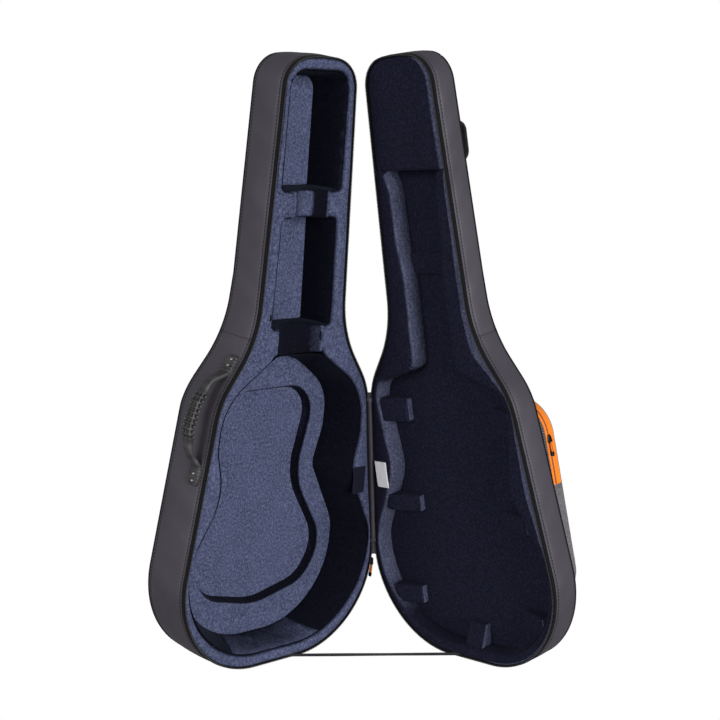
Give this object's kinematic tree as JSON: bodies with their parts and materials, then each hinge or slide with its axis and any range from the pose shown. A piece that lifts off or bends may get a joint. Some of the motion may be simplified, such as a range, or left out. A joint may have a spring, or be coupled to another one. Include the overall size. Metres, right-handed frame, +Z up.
{
  "type": "guitar case",
  "caption": "Guitar-shaped foam case, zipped all round and lying open on its back, with plush-padded body, neck and head wells, a hinged lid, an outer zip pocket and carry handles.",
  "frame": {"origin": "on the flat outer back face, on the centreline, 240 mm from the tail end", "axes": "+Z up out of the open base half, +Y along the case from the tail to the head, +X toward the hinge side"},
  "size_m": [0.5448, 1.082, 0.5362],
  "materials": {
    "leatherette": "fine-grained satin leatherette",
    "black_trim": "matt black woven trim",
    "zip_coil": "black nylon coil",
    "foam": "closed-cell foam, hidden",
    "plush_blue": "short slate-blue plush",
    "plush_navy": "short dark navy plush",
    "label_white": "bare woven label",
    "pocket_grey": "heather-grey polyester",
    "orange_zip": "orange zip tape",
    "handle_rubber": "moulded grey rubber",
    "rivet_steel": "domed steel",
    "black_metal": "black enamel"
  },
  "bodies": {
    "base": {"base_back_panel": "leatherette", "base_body_band": "leatherette", "base_floor_foam": "foam", "base_head_pad": "plush_blue", "base_head_roll": "plush_blue", "base_heel_block": "plush_blue", "base_lip_pad": "plush_blue", "base_neck_band": "leatherette", "base_neck_saddle": "plush_blue", "base_piping": "black_trim", "base_recess_floor": "plush_blue", "base_rim_binding": "black_trim", "base_shelf_pad": "plush_blue", "base_tail_pad": "plush_blue", "base_wall_foam": "foam", "base_wall_pad_free": "plush_blue", "base_wall_pad_hinge": "plush_blue", "base_well_pad": "plush_blue", "base_zip": "zip_coil", "cord_loop": "black_trim", "handle_grip": "handle_rubber", "handle_plate_lower": "handle_rubber", "handle_plate_upper": "handle_rubber", "handle_rivets": "rivet_steel", "hook_patch": "black_trim", "restraint_strap": "black_trim", "spine_base_leaf": "leatherette", "strap_base_tab": "black_trim"},
    "lid": {"lid_body_band": "leatherette", "lid_bumper_lower_free": "plush_navy", "lid_bumper_lower_hinge": "plush_navy", "lid_bumper_tail": "plush_navy", "lid_bumper_upper_free": "plush_navy", "lid_bumper_upper_hinge": "plush_navy", "lid_bumper_waist_free": "plush_navy", "lid_bumper_waist_hinge": "plush_navy", "lid_floor_foam": "foam", "lid_front_panel": "leatherette", "lid_head_pad": "plush_navy", "lid_label": "label_white", "lid_lip_pad": "plush_navy", "lid_neck_band": "leatherette", "lid_neck_rib": "plush_navy", "lid_piping": "black_trim", "lid_recess_floor": "plush_navy", "lid_rim_binding": "black_trim", "lid_wall_foam": "foam", "lid_wall_pad": "plush_navy", "lid_zip": "zip_coil", "neck_handle": "black_trim", "pocket_gusset": "pocket_grey", "pocket_panel": "pocket_grey", "pocket_zip": "orange_zip", "spine_lid_leaf": "leatherette", "strap_lid_tab": "black_trim"},
    "main_slider": {"main_slider": "black_metal"},
    "main_pull": {"main_pull": "orange_zip"},
    "pocket_slider": {"pocket_slider": "black_metal"},
    "pocket_pull": {"pocket_pull": "orange_zip"}
  },
  "joints": [
    {"name": "lid_hinge", "type": "hinge", "parent": "base", "child": "lid", "pos_m": [0.23804, -0.20293, 0.106], "axis": [-0.1539, 0.9881, 0], "range_deg": [-90, 0], "deforming": ["restraint_strap"]},
    {"name": "main_slider_run", "type": "hinge", "parent": "base", "child": "main_slider", "pos_m": [0.05031, -0.075, 0.104], "axis": [0, 0, 1], "range_deg": [-70, 0]},
    {"name": "main_pull_swing", "type": "hinge", "parent": "main_slider", "child": "main_pull", "pos_m": [0.21819, -0.09161, 0.104], "axis": [0, 0, 1], "range_deg": [0, 95]},
    {"name": "pocket_slider_run", "type": "slide", "parent": "lid", "child": "pocket_slider", "axis": [0.15, -0.9631, 0.2235], "range_m": [0, 0.06]},
    {"name": "pocket_pull_swing", "type": "hinge", "parent": "pocket_slider", "child": "pocket_pull", "pos_m": [0.26072, 0.22655, 0.45254], "axis": [-0.9881, -0.1539, 0], "range_deg": [0, 170]}
  ]
}
